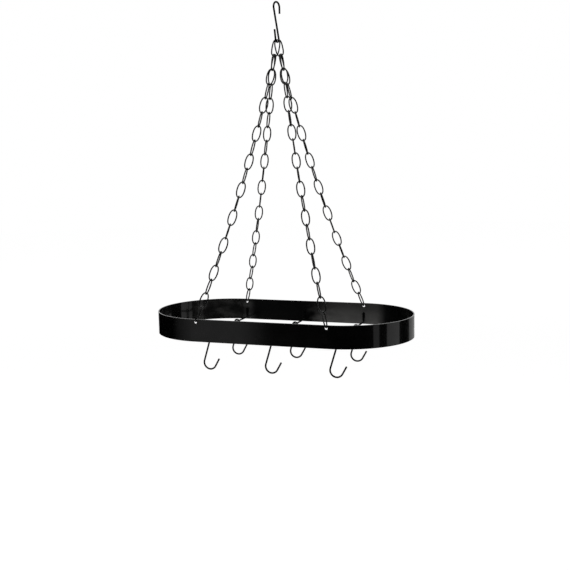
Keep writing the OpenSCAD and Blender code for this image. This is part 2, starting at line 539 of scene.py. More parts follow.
@dataclass(frozen=True)
class BandEnamel(Enamel):
    """The band's enamel: a patchy inner face with a painted grey sheen that stands in for its
    reflections, and faint spot-weld marks.

    Starts and stops are along the rack from its middle, in metres, and the painted sheen's fall
    is up from the welds.
    """

    arm_step: float = 0.152
    weld_z: float = 0.0
    mark_r: float = 0.0032
    mark_core: float = 0.4
    mark_depth: float = 0.00012
    mark_dull: float = 0.05
    inward_edge: Pair = (-0.02, -0.08)
    back_edge: Pair = (0.0, 0.05)
    streaks: Triple = (1.0, 1.0, 2.2)
    patch_scale: float = 22.0
    patch_edge: Pair = (0.38, 0.66)
    coat_level: float = 0.8
    coat_spread: float = 0.3
    patch_loss: float = 0.55
    thin_start: Pair = (-0.150, -0.125)
    thin_stop: Pair = (0.024, -0.004)
    thin_loss: float = 0.93
    covered_start: Pair = (0.0, 0.06)
    covered_loss: float = 0.8
    # Where the painted sheen on the right of the back wall's inner face lies and how bright it is
    right_sheen_fall: Pair = (0.028, -0.022)
    right_sheen_start: Pair = (0.018, 0.085)
    right_sheen_stop: Pair = (0.210, 0.180)
    right_sheen_ragged: float = 0.02
    right_sheen_level: float = 0.42
    right_sheen_spread: float = 0.66
    right_sheen_patchy: float = 0.2
    # Where the faint painted sheen on the left of the back wall's inner face lies and how bright it
    # is
    left_sheen_start: Pair = (-0.128, -0.158)
    left_sheen_level: float = 0.05
    left_sheen_spread: float = 0.22

    def inner(self, shader: Shader, coords: Sock) -> tuple[Sock, Sock, Sock, Sock]:
        """Finds the band's inner face.

        Args:
            shader: The material's shader.
            coords: The point's place.

        Returns:
            The point's x and z, how far it is on the back wall's inner face, and the patches
            of the whole inner face.
        """
        x, y, z = shader.axes(coords)
        facing = shader.axes(shader.node("ShaderNodeTexCoord", None, None, "Normal"))
        inward = (facing[1] * y).ramp(*self.inward_edge)
        drawn = shader.node("ShaderNodeMapping", None, {"Vector": coords, "Scale": self.streaks})
        patches = shader.noise(drawn, self.patch_scale, detail=3.0, rough=0.6)
        return x, z, inward * y.ramp(*self.back_edge), inward * patches.ramp(*self.patch_edge)

    def coat(self, shader: Shader, coords: Sock, cloud: Sock) -> Sock:
        """An even gloss outside, and a patchy one inside that the spray hardly reached.

        Args:
            shader: The material's shader.
            coords: The point's place.
            cloud: The enamel's slow changes.

        Returns:
            How strong the gloss top layer is, from 0 to 1.
        """
        x, _, back, patches = self.inner(shader, coords)
        thin = back * x.ramp(*self.thin_start) * x.ramp(*self.thin_stop)
        covered = back * x.ramp(*self.covered_start)
        patchy = 1 - (back - patches).largest(0.0) * self.patch_loss
        even = cloud * self.coat_spread + self.coat_level
        return even * patchy * (1 - thin * self.thin_loss) * (1 - covered * self.covered_loss)

    def dull_and_sheen_mask(self, shader: Shader, coords: Sock) -> Sock:
        """Painted sheen on the back wall's inner face, which stands in for its reflections, and the
        weld marks.

        Args:
            shader: The material's shader.
            coords: The point's place.

        Returns:
            A faint painted sheen on the left and a brighter one on the right, from 0 to 1.
        """
        x, z, back, patches = self.inner(shader, coords)
        high, low = (self.weld_z + step for step in self.right_sheen_fall)
        # Where the right-hand painted sheen lies, with a ragged edge
        covered = (x + patches * self.right_sheen_ragged).ramp(*self.right_sheen_start)
        covered = covered * x.ramp(*self.right_sheen_stop)
        # Painted sheen: a faint grey mottle on the left of the back wall's inner face
        left_sheen = back * x.ramp(*self.left_sheen_start) * (patches * self.left_sheen_spread + self.left_sheen_level)
        # Painted sheen: a brighter grey on the right, strongest low on the wall
        right_sheen = back * covered * (z.ramp(high, low) * self.right_sheen_spread + self.right_sheen_level)
        right_sheen = right_sheen * (patches * self.right_sheen_patchy + (1 - self.right_sheen_patchy))
        return right_sheen.largest(left_sheen).largest(self.marks(shader, coords) * self.mark_dull)

    def marks(self, shader: Shader, coords: Sock) -> Sock:
        """Finds the round marks of the arms' spot welds.

        Args:
            shader: The material's shader.
            coords: The point's place.

        Returns:
            1 in a mark's core, falling to 0 at its rim.
        """
        x, _, z = shader.axes(coords)
        half = self.arm_step / 2
        across = x.distance_to(0.0).distance_to(half).distance_to(half)
        away = (across**2 + z.distance_to(self.weld_z)**2)**0.5
        return away.ramp(self.mark_r, self.mark_r * self.mark_core)

    def relief(self, shader: Shader, coords: Sock) -> Sock:
        """The enamel's ripple with a shallow dimple at each spot weld."""
        return super().relief(shader, coords) - self.marks(shader, coords) * self.mark_depth


@dataclass(frozen=True)
class Finishes:
    """The rack's finished materials by the pieces they are for."""

    band: bpy.types.Material
    chain: bpy.types.Material
    arm: bpy.types.Material
    hook: bpy.types.Material


# ---------------------------------------------------------------- mesh making


def to_mesh(bm: bmesh.types.BMesh, name: str) -> bpy.types.Mesh:
    """Keeps a bmesh as a mesh.

    Args:
        bm: The bmesh, which is freed.
        name: The mesh's name.

    Returns:
        The mesh.
    """
    mesh = bpy.data.meshes.new(name)
    bm.to_mesh(mesh)
    bm.free()
    return mesh


def to_object(bm: bmesh.types.BMesh, name: str) -> bpy.types.Object:
    """Puts a bmesh into the scene.

    Args:
        bm: The bmesh, which is freed.
        name: The object's name.

    Returns:
        The object.
    """
    made = bpy.data.objects.new(name, to_mesh(bm, name))
    bpy.context.scene.collection.objects.link(made)
    return made


def grow(bm: bmesh.types.BMesh, rim: list[bmesh.types.BMEdge]) -> tuple[list, list]:
    """Extrudes a rim of edges without moving it.

    Args:
        bm: The mesh.
        rim: Its open edges.

    Returns:
        The new points and the new rim.
    """
    grown = bmesh.ops.extrude_edge_only(bm, edges=rim)["geom"]
    points = [g for g in grown if isinstance(g, bmesh.types.BMVert)]
    fresh = set(points)
    edges = [g for g in grown if isinstance(g, bmesh.types.BMEdge)]
    return points, [edge for edge in edges if fresh.issuperset(edge.verts)]


def polar(centre: Pair, radius: float, angle: float) -> Pair:
    """The point at an angle in degrees on a circle."""
    a = math.radians(angle)
    return centre[0] + radius * math.cos(a), centre[1] + radius * math.sin(a)


@dataclass(frozen=True)
class Station:
    """One cross-section of a wire: where it is, which way it runs and its size."""

    place: Vector
    along: Vector
    wide: Vector
    width: float
    thick: float
    square: float = 2.0
    wear: float = 0.0

    def rim(self, angle: float) -> Vector:
        """Finds a point of the section's outline.

        Args:
            angle: Its turn round the wire in radians.

        Returns:
            The point, on an oval that is squarer the larger square is.
        """
        c, s = math.cos(angle), math.sin(angle)
        power = 2 / self.square
        wide = (self.wide - self.along * self.wide.dot(self.along)).normalized()
        u = math.copysign(abs(c)**power, c) * self.width / 2
        v = math.copysign(abs(s)**power, s) * self.thick / 2
        return self.place + wide * u + self.along.cross(wide) * v

    def shrunk(self, step: float, less: float) -> "Station":
        """The same section further along and smaller all round, for a rounded end."""
        return Station(self.place + self.along * step, self.along, self.wide,
                       self.width - 2 * less, self.thick - 2 * less, self.square, self.wear)


class WireBuilder:
    """Extrudes a ring from station to station into one length of wire."""

    def __init__(self, sides: int) -> None:
        """Keeps how many sides the wire has."""
        self.sides = sides

    def sweep(self, stations: Sequence[Station], closed: bool = False) -> bmesh.types.BMesh:
        """Makes a wire along the stations.

        Args:
            stations: The wire's sections in order.
            closed: Whether the last section joins the first.

        Returns:
            A closed mesh with its wear in a vertex layer.
        """
        bm = bmesh.new()
        wear = bm.verts.layers.float.new(WEAR)
        ring = bmesh.ops.create_circle(bm, cap_ends=False, segments=self.sides, radius=1.0)["verts"]
        turn = {v: 2 * math.pi * i / self.sides for i, v in enumerate(ring)}
        self._shape(ring, turn, stations[0], wear)
        first = list(dict.fromkeys(e for v in ring for e in v.link_edges))
        rim = first
        for station in stations[1:]:
            fresh, rim = grow(bm, rim)
            for v in fresh:
                behind = (e.other_vert(v) for e in v.link_edges)
                turn[v] = next(turn[other] for other in behind if other not in fresh)
            self._shape(fresh, turn, station, wear)
        if closed:
            bmesh.ops.bridge_loops(bm, edges=first + rim)
        else:
            for edges in (first, rim):
                bmesh.ops.contextual_create(bm, geom=edges)
        bmesh.ops.recalc_face_normals(bm, faces=bm.faces[:])
        return bm

    @staticmethod
    def _shape(ring: Iterable[bmesh.types.BMVert], turn: dict, station: Station,
               wear: bmesh.types.BMLayerItem) -> None:
        """Puts a ring's points on a station's outline.

        Args:
            ring: The points.
            turn: Each point's turn round the wire.
            station: The section that they take.
            wear: The mesh's wear layer.
        """
        for v in ring:
            v.co = station.rim(turn[v])
            v[wear] = station.wear


def rounded(stations: Sequence[Station], radius: float) -> list[Station]:
    """Rounds both ends of a wire off.

    Args:
        stations: The wire's sections in order, without their rounding.
        radius: How far the ends are rounded, in metres.

    Returns:
        The sections with the rounded ends added, no longer than before.
    """
    def cap(last: Station, sign: int) -> list[Station]:
        """The sections of one end, from the wire outwards."""
        turns = [math.pi / 2 * i / ROUND_STEPS * ROUND_SHARE for i in range(1, ROUND_STEPS + 1)]
        return [last.shrunk(sign * radius * (math.sin(a) - 1), radius * (1 - math.cos(a)))
                for a in turns]

    head, tail = stations[0], stations[-1]
    middle = [head.shrunk(radius, 0.0), *stations[1:-1], tail.shrunk(-radius, 0.0)]
    return cap(head, -1)[::-1] + middle + cap(tail, 1)


@dataclass
class WirePath:
    """A wire's middle line in its own plane, as points with a heading in degrees."""

    points: list[Triple] = field(default_factory=list)

    def run(self, start: Pair, stop: Pair, steps: int) -> None:
        """Adds a straight run.

        Args:
            start: Its first point.
            stop: Its last point.
            steps: How many lengths it is cut into.
        """
        along, up = stop[0] - start[0], stop[1] - start[1]
        heading = math.degrees(math.atan2(up, along))
        for i in range(steps + 1):
            t = i / steps
            self.points.append((start[0] + along * t, start[1] + up * t, heading))

    def bend(self, centre: Pair, radius: float, start: float, turn: float,
             step: float = 6.0) -> None:
        """Adds a bend without its first and last points, which the runs beside it give.

        Args:
            centre: The bend's centre.
            radius: The radius of the wire's middle line.
            start: The bearing of its first point from the centre, in degrees.
            turn: How far it turns in degrees, minus for clockwise.
            step: About how many degrees lie between two points.
        """
        count = max(2, round(abs(turn) / step))
        for i in range(1, count):
            a = start + turn * i / count
            self.points.append((*polar(centre, radius, a), a + math.copysign(90, turn)))


@dataclass(frozen=True)
class Plane:
    """A plane that a wire is bent in."""

    origin: Vector
    across: Vector
    up: Vector

    def station(self, point: Triple, width: float, thick: float | None = None,
                square: float = 2.0, wear: float = 0.0) -> Station:
        """Makes a wire's section at a point of its path.

        Args:
            point: The point and the path's heading there.
            width: The wire's size square to the plane.
            thick: Its size in the plane, where that is another.
            square: How square it is: 2 is round.
            wear: How far it is rubbed bare.

        Returns:
            The section.
        """
        x, y, heading = point
        a = math.radians(heading)
        along = self.across * math.cos(a) + self.up * math.sin(a)
        return Station(self.origin + self.across * x + self.up * y, along,
                       self.across.cross(self.up), width, thick or width, square, wear)


@dataclass(frozen=True)
class Workshop:
    """Turns a mesh into a finished piece on its body."""

    flat_ratio: float = 12.0
    flat_crease: float = 3.0

    def finish(self, bm: bmesh.types.BMesh, name: str, body: str, node: str,
               material: bpy.types.Material, slot: str, crease: float = 38.0) -> None:
        """Makes the piece's object, dresses it and hangs it on its body.

        Args:
            bm: The piece's mesh, in the rack's own frame.
            name: The piece's name.
            body: The body that it moves with.
            node: The CAD node that it stands for.
            material: Its finish.
            slot: Not used.
            crease: Angle in degrees above which an edge stays sharp.
        """
        for face in bm.faces:
            face.smooth = True
        for edge in bm.edges:
            edge.smooth = self._blends(edge, crease)
        made = to_object(bm, name)
        made.data.materials.append(material)
        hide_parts(node)
        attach(made, body)
        self._report(made, node)

    def _blends(self, edge: bmesh.types.BMEdge, crease: float) -> bool:
        """Tells whether shading runs on over an edge.

        Args:
            edge: The edge between two faces.
            crease: The angle in degrees from which it stays sharp.

        Returns:
            True below that angle, but a flat beside a small rounding stays flat.
        """
        if len(edge.link_faces) != 2:
            return False
        small, large = sorted(face.calc_area() for face in edge.link_faces)
        limit = crease if large < self.flat_ratio * small else self.flat_crease
        return edge.calc_face_angle(0.0) < math.radians(limit)

    @staticmethod
    def _report(made: bpy.types.Object, node: str) -> None:
        """Logs the piece's faces and how far it stands out of its CAD box.

        Args:
            made: The finished piece.
            node: The CAD node that it stands for.
        """
        low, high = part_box(node)
        out = 0.0
        for i in range(3):
            along = [v.co[i] for v in made.data.vertices]
            out = max(out, low[i] - min(along), max(along) - high[i])
        LOG.info("%s: %d faces, %.2f mm outside its CAD box",
                 made.name, len(made.data.polygons), out * 1000)


# ---------------------------------------------------------------- pieces


@dataclass
class Band:
    """The oval band of flat bar, with rounded edges and four chain holes."""

    plan: HangingPlan
    edge_r: float = 0.0006
    edge_steps: int = 4
    end_steps: int = 51
    lead: float = 0.004
    merge: float = 0.00001
    hole_sides: int = 40
    sink_wide: float = 0.0003
    sink_deep: float = 0.0002
    crease: float = 30.0

    def build(self, shop: Workshop, finish: bpy.types.Material) -> None:
        """Makes the band and drills it.

        Args:
            shop: Where the piece is finished.
            finish: The band's enamel.
        """
        drilled = self._drill(to_object(self._bar(), "band_blank"))
        shop.finish(drilled, "band_enamelled", "rack", "band", finish, "band_enamel", self.crease)

    def _bar(self) -> bmesh.types.BMesh:
        """Bends a flat bar with rounded edges round the oval.

        Returns:
            The undrilled band.
        """
        s, plan = self.plan.sizes, self.plan
        bm = bmesh.new()
        bmesh.ops.create_circle(bm, cap_ends=True, segments=4, radius=math.sqrt(0.5))
        flat = Matrix.LocRotScale(None, Matrix.Rotation(math.radians(45), 3, "Z"), None)
        bmesh.ops.transform(bm, matrix=flat, verts=bm.verts[:])
        bmesh.ops.scale(bm, vec=(s.band_t, s.band_h, 1.0), verts=bm.verts[:])
        bmesh.ops.bevel(bm, geom=bm.verts[:], offset=self.edge_r, affect="VERTICES",
                        segments=self.edge_steps, profile=0.5, material=-1)
        half = (s.band_l - s.band_w) / 2
        stand = Matrix.Translation((-half, -plan.hole_y, plan.band_middle)) @ Matrix(
            ((0, 0, 1, 0), (1, 0, 0, 0), (0, 1, 0, 0), (0, 0, 0, 1)))
        bmesh.ops.transform(bm, matrix=stand, verts=bm.verts[:])
        bmesh.ops.delete(bm, geom=bm.faces[:], context="FACES_ONLY")
        rim = bm.edges[:]
        for sign in (1, -1):
            for step in (self.lead, 2 * half - 2 * self.lead, self.lead):
                fresh, rim = grow(bm, rim)
                bmesh.ops.translate(bm, vec=(sign * step, 0, 0), verts=fresh)
            turned = bmesh.ops.spin(
                bm, geom=rim, cent=(sign * half, 0, 0), axis=(0, 0, 1), angle=math.pi,
                steps=self.end_steps, use_merge=False)["geom_last"]
            rim = [g for g in turned if isinstance(g, bmesh.types.BMEdge)]
        bmesh.ops.remove_doubles(bm, verts=bm.verts[:], dist=self.merge)
        bmesh.ops.recalc_face_normals(bm, faces=bm.faces[:])
        return bm

    def _drills(self) -> bpy.types.Object:
        """Makes the four drills, which widen at both faces of the bar.

        Returns:
            One object, square to the long walls.
        """
        plan = self.plan
        face, hole_d = plan.sizes.band_t / 2, plan.sizes.hole_d
        profile = ((face - self.sink_deep, hole_d), (face, hole_d + self.sink_wide),
                   (2 * face, hole_d + 2 * self.sink_wide))
        sections = [(-y, d) for y, d in reversed(profile)] + list(profile)
        cutters = bmesh.new()
        for side in (Side.LEFT, Side.RIGHT):
            for end in End:
                middle = Vector((side.value * plan.hole_x, end.value * plan.hole_y, plan.hole_z))
                stations = [Station(middle + Vector((0, y, 0)), Vector((0, 1, 0)),
                                    Vector((1, 0, 0)), d, d) for y, d in sections]
                drill = to_mesh(WireBuilder(self.hole_sides).sweep(stations), "drill")
                cutters.from_mesh(drill)
                bpy.data.meshes.remove(drill)
        return to_object(cutters, "drills")

    def _drill(self, blank: bpy.types.Object) -> bmesh.types.BMesh:
        """Cuts the four chain holes.

        Args:
            blank: The undrilled band, which is used up.

        Returns:
            The drilled band.
        """
        drills = self._drills()
        bore = blank.modifiers.new("bore", "BOOLEAN")
        bore.operation, bore.solver, bore.object = "DIFFERENCE", "EXACT", drills
        bpy.context.view_layer.update()
        done = blank.evaluated_get(bpy.context.evaluated_depsgraph_get())
        bm = bmesh.new()
        bm.from_mesh(done.to_mesh())
        done.to_mesh_clear()
        for spare in (blank, drills):
            held = spare.data
            bpy.data.objects.remove(spare)
            bpy.data.meshes.remove(held)
        return bm


@dataclass
class LinkForge:
    """Makes one welded oval link and copies of it in place.

    A link is rubbed bare from rub_start of its half length, and less so on its outer side.
    """

    plan: HangingPlan
    fullness: float = 2.2
    around: int = 56
    fine: int = 720
    sides: int = 14
    weld_rise: float = 0.13
    weld_l: float = 0.0013
    rub_start: float = 0.86
    outer_rub: float = 0.35

    def link(self) -> bpy.types.Mesh:
        """Makes the link.

        Returns:
            It in the XY plane, its length along X and its weld on one long side.
        """
        outline = self._outline()
        count = len(outline)
        long, wide = self.plan.link_l / 2, self.plan.link_end_r
        stations = []
        for i, place in enumerate(outline):
            along = (outline[(i + 1) % count] - outline[i - 1]).normalized()
            lump = self.weld_rise * math.exp(-(place.x / self.weld_l)**2) if place.y > 0 else 0.0
            size = self.plan.sizes.link_wire * (1 + lump)
            rub = max(0.0, (abs(place.x) / long - self.rub_start) / (1 - self.rub_start))
            stations.append(Station(place, along, UP, size, size, wear=rub))
        bm = WireBuilder(self.sides).sweep(stations, closed=True)
        wear = bm.verts.layers.float[WEAR]
        for v in bm.verts:
            inside = (v.co.x / long)**2 + (v.co.y / wide)**2 < 1.0
            v[wear] *= 1.0 if inside else self.outer_rub
        return to_mesh(bm, "link")

    def _outline(self) -> list[Vector]:
        """Works out the link's middle line.

        Returns:
            Evenly spaced points round a full oval.
        """
        long, wide, n = self.plan.link_l / 2, self.plan.link_end_r, self.fullness
        points = []
        for i in range(self.fine):
            a = 2 * math.pi * i / self.fine
            r = (abs(math.cos(a) / long)**n + abs(math.sin(a) / wide)**n)**(-1 / n)
            points.append(Vector((r * math.cos(a), r * math.sin(a), 0)))
        gaps = [(after - point).length for point, after in zip(points, points[1:] + points[:1])]
        step = sum(gaps) / self.around
        made, gone = [], 0.0
        for point, gap in zip(points, gaps):
            if gone >= len(made) * step - ROUNDING:
                made.append(point)
            gone += gap
        return made[:self.around]

    @staticmethod
    def place(bm: bmesh.types.BMesh, mesh: bpy.types.Mesh, middle: Vector, along: Vector,
              wide: Vector, roll: float = 0.0) -> None:
        """Adds a link to a mesh.

        Args:
            bm: The mesh that takes the link.
            mesh: The link.
            middle: Its centre.
            along: The direction of its length.
            wide: The direction of its width.
            roll: Its turn about its length in degrees.
        """
        before = len(bm.verts)
        bm.from_mesh(mesh)
        bm.verts.ensure_lookup_table()
        side = (wide - along * wide.dot(along)).normalized()
        lie = Matrix((along, side, along.cross(side))).transposed().to_4x4()
        turn = Matrix.Translation(middle) @ lie @ Matrix.Rotation(math.radians(roll), 4, "X")
        bmesh.ops.transform(bm, matrix=turn, verts=bm.verts[before:])


@dataclass
class Chains:
    """The four chains and the two top links.

    A chain's free links turn about it by twist degrees, give or take slack, in a slow wave
    that starts elsewhere in each chain.
    """

    plan: HangingPlan
    top_fullness: float = 2.9
    twist: float = -13.0
    slack: float = 7.0
    slack_wave: float = 0.62
    side_shift: float = 1.9
    end_shift: float = 0.8

    def build(self, shop: Workshop, finish: bpy.types.Material) -> None:
        """Makes every link of the rack.

        Args:
            shop: Where the pieces are finished.
            finish: The links' enamel.
        """
        forge = LinkForge(self.plan)
        link = forge.link()
        for end in End:
            for side in (Side.LEFT, Side.RIGHT):
                name = f"chain_{end.name.lower()}_{side.name.lower()}"
                bm = bmesh.new()
                points = self.plan.chain_points(side, end)
                shift = self.side_shift * side.value + self.end_shift * end.value
                for k, (start, stop) in enumerate(zip(points, points[1:])):
                    along = (stop - start).normalized()
                    wall = Vector((-along.z, 0, along.x)).normalized()
                    wide = wall.cross(along) if k % 2 == 0 else wall
                    free = math.sin(math.pi * k / (len(points) - 2))
                    turn = free * (self.twist + self.slack * math.sin(self.slack_wave * k + shift))
                    forge.place(bm, link, (start + stop) / 2, along, wide, turn)
                shop.finish(bm, f"{name}_links", "rack", name, finish, "chain_enamel")
        self._top_links(shop, finish)

    def _top_links(self, shop: Workshop, finish: bpy.types.Material) -> None:
        """Makes the two links that sit in the ceiling hook.

        Args:
            shop: Where the pieces are finished.
            finish: The links' enamel.
        """
        forge = LinkForge(self.plan, fullness=self.top_fullness)
        link = forge.link()
        for side in (Side.LEFT, Side.RIGHT):
            name = f"top_link_{side.name.lower()}"
            along = self.plan.top_dir(side)
            bm = bmesh.new()
            middle = self.plan.top_end(side) - along * self.plan.link_l / 2
            forge.place(bm, link, middle, along, Vector((0, 1, 0)).cross(along))
            shop.finish(bm, f"{name}_oval", "top_links", name, finish, "chain_enamel")


@dataclass
class CeilingHook:
    """The bent-wire hook that carries the rack, rubbed in its seat and on its crest."""

    plan: HangingPlan
    sides: int = 24
    tip_r: float = 0.0008
    rub: float = 0.9
    seat_rub: float = 0.0016
    crest_rub: float = 0.0012

    def build(self, shop: Workshop, finish: bpy.types.Material) -> None:
        """Bends the hook.

        Args:
            shop: Where the piece is finished.
            finish: The hook's enamel.
        """
        s, plan = self.plan.sizes, self.plan
        top, low = (0.0, plan.top_loop_z), (0.0, plan.low_loop_z)
        lean = plan.shank_lean
        side = polar(low, s.hook_low_r, 180 + s.hook_leg_lean)
        path = WirePath()
        path.run((s.hook_top_r, top[1] - s.hook_top_leg), (s.hook_top_r, top[1]), steps=3)
        path.bend(top, s.hook_top_r, 0, 180 + lean)
        path.run(polar(top, s.hook_top_r, 180 + lean), polar(low, s.hook_low_r, lean), steps=6)
        path.bend(low, s.hook_low_r, 360 + lean, s.hook_leg_lean - 180 - lean, step=7.0)
        path.run(side, polar(side, s.hook_low_leg, 90 + s.hook_leg_lean), steps=4)
        turn = math.radians(90 - s.hook_turn)
        plane = Plane(Vector(), Vector((math.cos(turn), math.sin(turn), 0)), UP)
        stations = []
        for point in path.points:
            seat = max(0.0, 1 - abs(point[1] - (low[1] - s.hook_low_r)) / self.seat_rub)
            crest = max(0.0, 1 - abs(point[1] - (top[1] + s.hook_top_r)) / self.crest_rub)
            stations.append(plane.station(point, s.hook_wire, wear=self.rub * max(seat, crest)))
        bm = WireBuilder(self.sides).sweep(rounded(stations, self.tip_r))
        shop.finish(bm, "ceiling_hook_wire", "ceiling_hook", "ceiling_hook", finish, "hook_enamel")


@dataclass
class Arms:
    """The six welded arms that stand inward from the band.

    The upper end of each leg is pressed flat and nearly square, and runs out into round wire
    over leg_taper. The wire is rubbed where a pot hook hangs, within level_play of its level.
    """

    plan: HangingPlan
    sides: int = 20
    tip_r: float = 0.0008
    bend_step: float = 9.0
    leg_square: float = 3.4
    leg_thin: float = 0.72
    leg_start: float = 0.6
    leg_stop: float = 0.0015
    leg_taper: float = 0.0065
    cap_steps: int = 8
    leg_steps: int = 12
    rub: float = 0.8
    rub_l: float = 0.006
    level_play: float = 0.0001

    def build(self, shop: Workshop, finish: bpy.types.Material) -> None:
        """Bends and presses each arm.

        Args:
            shop: Where the pieces are finished.
            finish: The arms' enamel.
        """
        plan = self.plan
        for end in End:
            for side in Side:
                place = Vector((side.value * plan.hole_x, end.value * plan.arm_y, plan.arm_z))
                plane = Plane(place, Vector((0, -end.value, 0)), UP)
                bm = WireBuilder(self.sides).sweep(self._leg(plane) + self._wire(plane))
                name = f"arm_{end.name.lower()}_{side.name.lower()}"
                shop.finish(bm, f"{name}_wire", "rack", name, finish, "arm_enamel")

    @property
    def _leg_x(self) -> float:
        """Distance of the round wire's middle from the band at the leg's foot."""
        return self.plan.sizes.arm_wire / 2 + self.plan.sizes.leg_stand

    def _leg(self, plane: Plane) -> list[Station]:
        """Presses the leg.

        Args:
            plane: The plane that the arm is bent in.

        Returns:
            The leg's sections from its rounded top to its foot.
        """
        s = self.plan.sizes
        half, middle = s.leg_w / 2, s.leg_t / 2
        stations = []
        for i in range(self.cap_steps + 1):
            quarter = (i + self.leg_start) / (self.cap_steps + self.leg_start)
            down = half * (1 - math.cos(math.pi / 2 * quarter))
            width = 2 * math.sqrt(half**2 - (half - down)**2)
            thick = s.leg_t * (self.leg_thin + (1 - self.leg_thin) * i / self.cap_steps)
            stations.append(plane.station((middle, s.arm_leg - down, -90.0),
                                          width, thick, self.leg_square))
        low, high = s.arm_bend_r + self.leg_stop, s.arm_leg - s.leg_w
        for i in range(self.leg_steps + 1):
            y = high + (low - high) * i / self.leg_steps
            t = min(1.0, max(0.0, (low + self.leg_taper - y) / self.leg_taper))
            t = t * t * (3 - 2 * t)
            stations.append(plane.station(
                (middle + (self._leg_x - middle) * t, y, -90.0),
                s.leg_w + (s.arm_wire - s.leg_w) * t, s.leg_t + (s.arm_wire - s.leg_t) * t,
                self.leg_square + (2.0 - self.leg_square) * t))
        return stations

    def _wire(self, plane: Plane) -> list[Station]:
        """Bends the round wire.

        Args:
            plane: The plane that the arm is bent in.

        Returns:
            The wire's sections from the leg's foot to the rounded tip.
        """
        s = self.plan.sizes
        r, leg_x, tip_x = s.arm_bend_r, self._leg_x, s.arm_reach - s.arm_wire / 2
        path = WirePath([(leg_x, r, -90.0)])
        path.bend((leg_x + r, r), r, 180, 90, self.bend_step)
        path.run((leg_x + r, 0), (tip_x - r, 0), steps=10)
        path.bend((tip_x - r, r), r, 270, 90, self.bend_step)
        path.run((tip_x, r), (tip_x, r + s.arm_tip), steps=2)
        stations = []
        for point in path.points:
            away = abs(point[0] - (s.arm_reach - s.hang_back))
            near = max(0.0, 1 - away / self.rub_l) if point[1] < self.level_play else 0.0
            stations.append(plane.station(point, s.arm_wire, wear=self.rub * near))
        return stations[:1] + rounded(stations, self.tip_r)[ROUND_STEPS + 1:]


@dataclass
class PotHooks:
    """The six loose pot hooks, rubbed in the bottom of the bowl and under the arch."""

    plan: HangingPlan
    sides: int = 20
    tip_r: float = 0.0008
    low_rub: float = 0.75
    arch_rub: float = 0.7
    low_rub_h: float = 0.003
    arch_rub_h: float = 0.002

    def build(self, shop: Workshop, finish: bpy.types.Material) -> None:
        """Bends each hook and hangs it with its weight below its arm.

        Args:
            shop: Where the pieces are finished.
            finish: The hooks' enamel.
        """
        s, plan = self.plan.sizes, self.plan
        path = self._path()
        seat = s.arch_r - (s.pot_wire + s.arm_wire) / 2 - s.pot_gap
        lean = self._lean(seat)
        LOG.info("pot hooks lean %.2f degrees", math.degrees(lean))
        across = Vector((math.cos(lean), 0, -math.sin(lean)))
        up = Vector((math.sin(lean), 0, math.cos(lean)))
        hang_y = plan.arm_y - s.arm_reach + s.hang_back
        for end in End:
            for side in Side:
                hang = Vector((side.value * plan.hole_x, end.value * hang_y, plan.arm_z))
                plane = Plane(hang - up * seat, across, up)
                stations = [plane.station(p, s.pot_wire, wear=self._wear(p)) for p in path.points]
                bm = WireBuilder(self.sides).sweep(rounded(stations, self.tip_r))
                name = f"pot_hook_{end.name.lower()}_{side.name.lower()}"
                shop.finish(bm, f"{name}_wire", name, name, finish, "hook_enamel")

    @property
    def _bowl(self) -> Pair:
        """Centre of the bowl in the hook's own plane."""
        s = self.plan.sizes
        return s.arch_r + s.bowl_r, -s.shank

    @property
    def _lip(self) -> Pair:
        """Where the bowl runs out into its straight end."""
        s = self.plan.sizes
        return polar(self._bowl, s.bowl_r, -s.bowl_flare)

    def _path(self) -> WirePath:
        """Bends the hook's middle line.

        Returns:
            It from the arch's open end to the bowl's tip.
        """
        s = self.plan.sizes
        path = WirePath()
        path.run((-s.arch_r, -s.arch_leg), (-s.arch_r, 0), steps=2)
        path.bend((0, 0), s.arch_r, 180, -180, step=9.0)
        path.run((s.arch_r, 0), (s.arch_r, -s.shank), steps=8)
        path.bend(self._bowl, s.bowl_r, 180, 180 - s.bowl_flare)
        path.run(self._lip, polar(self._lip, s.bowl_leg, 90 - s.bowl_flare), steps=4)
        return path

    def _wear(self, point: Triple) -> float:
        """How far the enamel is rubbed away at a point of the path.

        Args:
            point: The point and the path's heading there.

        Returns:
            From 0 to 1.
        """
        s = self.plan.sizes
        bottom = max(0.0, 1 - (point[1] + s.shank + s.bowl_r) / self.low_rub_h)
        arch = max(0.0, 1 - (s.arch_r - point[1]) / self.arch_rub_h)
        return self.low_rub * bottom if point[1] < 0 else self.arch_rub * arch

    def _lean(self, seat: float) -> float:
        """Works out how the hook hangs.

        Args:
            seat: Height of the arm's middle above the arch's centre.

        Returns:
            The lean that brings its weight under the arm, in radians.
        """
        s = self.plan.sizes
        bowl, turn = self._bowl, math.radians(180 - s.bowl_flare)
        leg = polar(self._lip, s.bowl_leg / 2, 90 - s.bowl_flare)
        # Each length of the wire with the middle of its weight
        parts = [
            (math.pi * s.arch_r, 0.0, 2 * s.arch_r / math.pi),
            (s.arch_leg, -s.arch_r, -s.arch_leg / 2),
            (s.shank, s.arch_r, -s.shank / 2),
            (s.bowl_r * turn, bowl[0] - s.bowl_r / turn * math.sin(turn),
             bowl[1] - s.bowl_r / turn * (1 - math.cos(turn))),
            (s.bowl_leg, *leg),
        ]
        weight = sum(p[0] for p in parts)
        x = sum(p[0] * p[1] for p in parts) / weight
        y = sum(p[0] * p[2] for p in parts) / weight
        return math.atan2(x, seat - y)


# ---------------------------------------------------------------- studio


